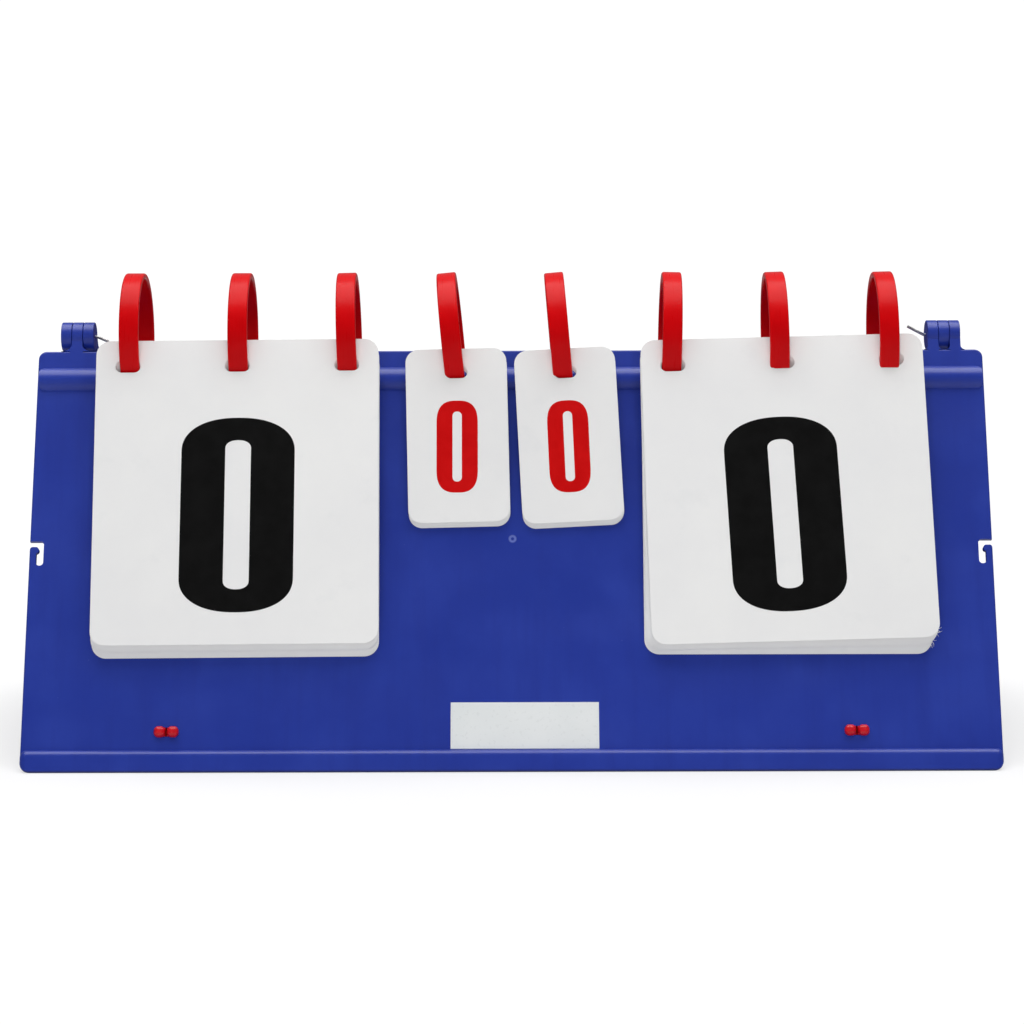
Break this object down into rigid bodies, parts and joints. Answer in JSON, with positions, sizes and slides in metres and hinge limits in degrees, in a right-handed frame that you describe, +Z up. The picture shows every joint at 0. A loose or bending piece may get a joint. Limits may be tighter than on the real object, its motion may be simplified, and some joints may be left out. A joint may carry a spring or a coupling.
{
  "type": "tabletop flip scoreboard",
  "caption": "Free-standing A-frame scoreboard of hinged plastic panels, with numbered flip leaves on split rings for points and for games.",
  "frame": {"origin": "middle of the footprint on the table, halfway between the panels' feet", "axes": "+X to the right along the hinge line, the shown front faces -Y, +Z up"},
  "size_m": [0.39, 0.1764, 0.1908],
  "materials": {
    "panel_plastic": "satin",
    "ring_plastic": "gloss",
    "leaf_plastic": "satin",
    "plug_plastic": "gloss",
    "strap_plastic": "satin",
    "pin_wire": "bright",
    "label_paper": "paper"
  },
  "bodies": {
    "front_frame": {"front_panel": "panel_plastic", "name_label": "label_paper", "left_hinge_pin": "pin_wire", "right_hinge_pin": "pin_wire", "left_stay_strap": "strap_plastic", "left_front_stay_plug": "plug_plastic", "right_stay_strap": "strap_plastic", "right_front_stay_plug": "plug_plastic", "left_score_leaf_01": "leaf_plastic", "left_score_leaf_02": "leaf_plastic", "left_score_leaf_03": "leaf_plastic", "left_score_leaf_04": "leaf_plastic", "left_score_leaf_05": "leaf_plastic", "left_score_leaf_06": "leaf_plastic", "left_score_leaf_07": "leaf_plastic", "left_score_leaf_08": "leaf_plastic", "left_score_leaf_09": "leaf_plastic", "left_score_leaves_rear": "leaf_plastic", "left_set_leaf_01": "leaf_plastic", "left_set_leaf_02": "leaf_plastic", "left_set_leaf_03": "leaf_plastic", "left_set_leaf_04": "leaf_plastic", "left_set_leaf_05": "leaf_plastic", "left_set_leaf_06": "leaf_plastic", "left_set_leaf_07": "leaf_plastic", "right_score_leaf_01": "leaf_plastic", "right_score_leaf_02": "leaf_plastic", "right_score_leaf_03": "leaf_plastic", "right_score_leaf_04": "leaf_plastic", "right_score_leaf_05": "leaf_plastic", "right_score_leaf_06": "leaf_plastic", "right_score_leaf_07": "leaf_plastic", "right_score_leaf_08": "leaf_plastic", "right_score_leaf_09": "leaf_plastic", "right_score_leaves_rear": "leaf_plastic", "right_set_leaf_01": "leaf_plastic", "right_set_leaf_02": "leaf_plastic", "right_set_leaf_03": "leaf_plastic", "right_set_leaf_04": "leaf_plastic", "right_set_leaf_05": "leaf_plastic", "right_set_leaf_06": "leaf_plastic", "right_set_leaf_07": "leaf_plastic"},
    "rear_frame": {"rear_panel": "panel_plastic", "left_rear_stay_plug": "plug_plastic", "right_rear_stay_plug": "plug_plastic"},
    "left_score_rings": {"left_score_ring_a": "ring_plastic", "left_score_ring_b": "ring_plastic", "left_score_ring_c": "ring_plastic"},
    "left_score_front_leaf": {"left_score_leaf_00": "leaf_plastic"},
    "left_set_ring": {"left_set_ring": "ring_plastic"},
    "left_set_front_leaf": {"left_set_leaf_00": "leaf_plastic"},
    "right_score_rings": {"right_score_ring_a": "ring_plastic", "right_score_ring_b": "ring_plastic", "right_score_ring_c": "ring_plastic"},
    "right_score_front_leaf": {"right_score_leaf_00": "leaf_plastic"},
    "right_set_ring": {"right_set_ring": "ring_plastic"},
    "right_set_front_leaf": {"right_set_leaf_00": "leaf_plastic"}
  },
  "joints": [
    {"name": "fold", "type": "hinge", "parent": "front_frame", "child": "rear_frame", "pos_m": [0, 0, 0.16371], "axis": [-1, 0, 0], "range_deg": [0, 52], "deforming": ["left_stay_strap", "right_stay_strap"]},
    {"name": "left_score_flip", "type": "hinge", "parent": "front_frame", "child": "left_score_rings", "pos_m": [0, 0, 0.16371], "axis": [-1, 0, 0], "range_deg": [0, 236.62]},
    {"name": "left_score_leaf_tilt", "type": "hinge", "parent": "left_score_rings", "child": "left_score_front_leaf", "pos_m": [0, -0.02414, 0.15433], "axis": [-1, 0, 0], "range_deg": [0, 77.91]},
    {"name": "left_set_flip", "type": "hinge", "parent": "front_frame", "child": "left_set_ring", "pos_m": [0, 0, 0.16371], "axis": [-1, 0, 0], "range_deg": [0, 242.36]},
    {"name": "left_set_leaf_tilt", "type": "hinge", "parent": "left_set_ring", "child": "left_set_front_leaf", "pos_m": [0, -0.0227, 0.15124], "axis": [-1, 0, 0], "range_deg": [0, 79.03]},
    {"name": "right_score_flip", "type": "hinge", "parent": "front_frame", "child": "right_score_rings", "pos_m": [0, 0, 0.16371], "axis": [-1, 0, 0], "range_deg": [0, 236.62]},
    {"name": "right_score_leaf_tilt", "type": "hinge", "parent": "right_score_rings", "child": "right_score_front_leaf", "pos_m": [0, -0.02414, 0.15433], "axis": [-1, 0, 0], "range_deg": [0, 77.91]},
    {"name": "right_set_flip", "type": "hinge", "parent": "front_frame", "child": "right_set_ring", "pos_m": [0, 0, 0.16371], "axis": [-1, 0, 0], "range_deg": [0, 242.36]},
    {"name": "right_set_leaf_tilt", "type": "hinge", "parent": "right_set_ring", "child": "right_set_front_leaf", "pos_m": [0, -0.0227, 0.15124], "axis": [-1, 0, 0], "range_deg": [0, 79.03]}
  ],
  "couplings": [
    {"joint": "left_score_leaf_tilt", "follows": "left_score_flip", "ratio": 0.32919},
    {"joint": "left_set_leaf_tilt", "follows": "left_set_flip", "ratio": 0.32605},
    {"joint": "right_score_leaf_tilt", "follows": "right_score_flip", "ratio": 0.32919},
    {"joint": "right_set_leaf_tilt", "follows": "right_set_flip", "ratio": 0.32605}
  ]
}
